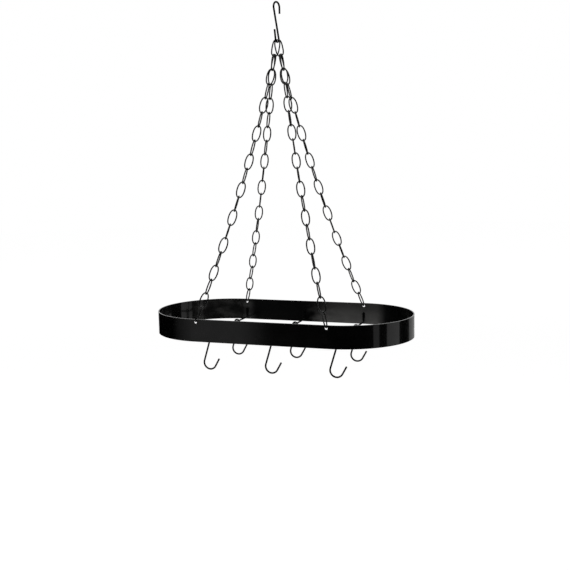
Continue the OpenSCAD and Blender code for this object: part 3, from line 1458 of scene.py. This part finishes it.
@dataclass(frozen=True)
class Card:
    """A tall curved card that the enamel reflects, from one bearing to another round the rack."""

    name: str
    start: float
    stop: float
    glow: float = 0.0
    glow_stop: float | None = None

    def material(self) -> bpy.types.Material:
        """Builds a glow that is even, or fades from the first bearing to the last.

        Returns:
            The card's material.
        """
        made, shader = start_material(self.name)
        x, y, _ = shader.axes(shader.node("ShaderNodeTexCoord", None, None, "Object"))
        bearing = shader.node("ShaderNodeMath", {"operation": "ARCTAN2"}, {0: x, 1: 0 - y})
        glow = shader.node("ShaderNodeMapRange", None, {
            "Value": bearing, "From Min": math.radians(self.start),
            "From Max": math.radians(self.stop), "To Min": self.glow,
            "To Max": self.glow if self.glow_stop is None else self.glow_stop})
        surface = shader.node("ShaderNodeEmission", None, {"Color": WHITE, "Strength": glow})
        shader.node("ShaderNodeOutputMaterial", None, {"Surface": surface})
        return made


@dataclass(frozen=True)
class Lamp:
    """A soft box that faces the rack, with its power in watts."""

    name: str
    place: Triple
    size: Pair
    power: float


@dataclass
class Studio:
    """Pale floor, soft light, reflection cards and the camera.

    The camera's bearing, height above and roll are in degrees, and aside and lower say how far
    the rack's middle lies from the middle of the picture.
    """

    middle: Vector
    room_light: float = 0.55
    floor_z: float = -1.50
    floor_r: float = 14.0
    floor_sides: int = 96
    floor_tone: float = 0.86
    floor_glow: float = 0.262
    far_glow: float = 0.26
    far_edge: Pair = (-2.0, 7.0)
    card_r: float = 3.0
    card_low: float = -1.49
    card_high: float = 1.2
    card_foot: float = 0.4
    card_steps: int = 24
    focal_px: float = 902.74
    sensor: float = 36.0
    clip: Pair = (0.05, 60.0)
    bearing: float = 20.451
    above: float = 8.048
    roll: float = -1.228
    distance: float = 2.09238
    aside: float = -0.003864
    lower: float = -0.084811
    cards: tuple[Card, ...] = (
        Card("card_left", -134.0, -70.0),
        Card("card_left_fade", -70.0, -36.0, 0.01, 0.24),
        Card("card_sheen", -36.0, -22.8, 0.26, 0.32),
        Card("card_sheen_fade", -22.8, -20.2, 0.28, 0.0),
        Card("card_front", -20.2, 60.5),
        Card("card_narrow_bar", 60.5, 70.5, 0.33),
        Card("card_right_gap", 70.5, 84.5),
        Card("card_wide_bar", 84.5, 111.0, 0.5),
        Card("card_right_back", 111.0, 140.5),
        Card("card_far_bar", 140.5, 172.0, 0.34),
    )
    lamps: tuple[Lamp, ...] = (
        Lamp("lamp_key", (-1.6, -1.9, 1.5), (2.2, 2.2), 26.0),
        Lamp("lamp_fill", (2.3, -0.9, 0.9), (1.8, 1.8), 12.0),
        Lamp("lamp_top", (0.2, 0.6, 2.2), (2.4, 2.4), 20.0),
    )

    def build(self) -> None:
        """Sets the whole studio up."""
        self._world()
        self._floor()
        for card in self.cards:
            self._card(card)
        for lamp in self.lamps:
            self._lamp(lamp)
        self._camera()

    def _world(self) -> None:
        """A white surround, at a plain level where it lights matt surfaces."""
        world = bpy.data.worlds.new("white_surround")
        bpy.context.scene.world = world
        world.use_nodes = True
        shader = Shader(world.node_tree)
        seen = shader.seen_by("Camera", "Glossy", "Transmission")
        glow = shader.node("ShaderNodeBackground", None, {
            "Color": WHITE, "Strength": seen * (1 - self.room_light) + self.room_light})
        shader.node("ShaderNodeOutputWorld", None, {"Surface": glow})

    def _floor(self) -> None:
        """A plain pale floor that keeps the rack's shadow."""
        bm = bmesh.new()
        bmesh.ops.create_circle(bm, cap_ends=True, segments=self.floor_sides, radius=self.floor_r)
        bmesh.ops.translate(bm, vec=(0, 0, self.floor_z), verts=bm.verts[:])
        made = to_object(bm, "floor")
        material, shader = start_material("pale_floor")
        tone = self.floor_tone
        matt = shader.node("ShaderNodeBsdfDiffuse", None, {"Color": (tone, tone, tone, 1.0)})
        coords = shader.node("ShaderNodeTexCoord", None, None, "Object")
        away = shader.node("ShaderNodeVectorMath", {"operation": "LENGTH"}, {0: coords}, "Value")
        glow = away.ramp(*self.far_edge) * self.far_glow + self.floor_glow
        lift = shader.node("ShaderNodeEmission", None, {
            "Color": WHITE, "Strength": shader.seen_by("Camera", "Glossy") * glow})
        both = shader.node("ShaderNodeAddShader", None, {0: matt, 1: lift})
        shader.node("ShaderNodeOutputMaterial", None, {"Surface": both})
        made.data.materials.append(material)

    def _card(self, card: Card) -> None:
        """Stands one reflection card up, out of the camera's sight.

        Args:
            card: The card.
        """
        bm = bmesh.new()
        start = math.radians(card.start)
        foot = Vector((math.sin(start), -math.cos(start), 0)) * self.card_r
        low, high = UP * self.card_low, UP * self.card_high
        profile = [foot * self.card_foot + low, foot + low, foot + high]
        verts = [bmesh.ops.create_vert(bm, co=place)["vert"][0] for place in profile]
        edges = [edge for pair in zip(verts, verts[1:])
                 for edge in bmesh.ops.contextual_create(bm, geom=list(pair))["edges"]]
        bmesh.ops.spin(bm, geom=verts + edges, cent=(0, 0, 0), axis=(0, 0, 1),
                       angle=math.radians(card.stop - card.start), steps=self.card_steps)
        made = to_object(bm, card.name)
        made.visible_camera = made.visible_diffuse = made.visible_transmission = False
        made.visible_shadow = made.visible_volume_scatter = False
        made.data.materials.append(card.material())

    def _lamp(self, lamp: Lamp) -> None:
        """Hangs a soft box.

        Args:
            lamp: The soft box.
        """
        light = bpy.data.lights.new(lamp.name, "AREA")
        light.shape = "RECTANGLE"
        light.size, light.size_y = lamp.size
        light.energy = lamp.power
        made = bpy.data.objects.new(lamp.name, light)
        made.location = lamp.place
        facing = self.middle - Vector(lamp.place)
        made.rotation_euler = facing.to_track_quat("-Z", "Y").to_euler()
        bpy.context.scene.collection.objects.link(made)

    def _camera(self) -> None:
        """Puts the camera where the photograph was taken from."""
        yaw, pitch, roll = (math.radians(a) for a in (self.bearing, self.above, self.roll))
        level = Vector((math.cos(yaw), math.sin(yaw), 0))
        ahead = Vector((-math.sin(yaw) * math.cos(pitch), math.cos(yaw) * math.cos(pitch),
                        -math.sin(pitch)))
        upward = level.cross(ahead)
        right = level * math.cos(roll) + upward * math.sin(roll)
        up = upward * math.cos(roll) - level * math.sin(roll)
        place = self.middle - (right * self.aside + up * self.lower + ahead * self.distance)
        lens = bpy.data.cameras.new("camera")
        lens.sensor_width = self.sensor
        lens.lens = self.focal_px / FRAME_PX * lens.sensor_width
        lens.clip_start, lens.clip_end = self.clip
        made = bpy.data.objects.new("camera", lens)
        turn = Matrix((right, up, -ahead)).transposed().to_4x4()
        made.matrix_world = Matrix.Translation(place) @ turn
        bpy.context.scene.collection.objects.link(made)
        bpy.context.scene.camera = made


# ---------------------------------------------------------------- main


def main() -> None:
    """Builds the rack's pieces in order, then the studio."""
    logging.basicConfig(level=logging.INFO, format="%(name)s: %(message)s")
    bpy.context.scene.view_settings.view_transform = "Standard"
    plan = HangingPlan(RackSizes())
    finishes = Finishes(
        band=BandEnamel("band_enamel", arm_step=plan.hole_x, weld_z=plan.weld_z).material(),
        chain=Enamel("chain_enamel", shine=0.2, gloss=0.26, wave_depth=0.0).material(),
        arm=Enamel("arm_enamel", shine=0.12, wave_depth=0.0).material(),
        hook=Enamel("hook_enamel", wave_depth=0.0).material(),
    )
    shop = Workshop()
    Band(plan).build(shop, finishes.band)
    Chains(plan).build(shop, finishes.chain)
    CeilingHook(plan).build(shop, finishes.hook)
    Arms(plan).build(shop, finishes.arm)
    PotHooks(plan).build(shop, finishes.hook)
    Studio(Vector((0, 0, plan.band_middle))).build()


if __name__ == "__main__":
    main()
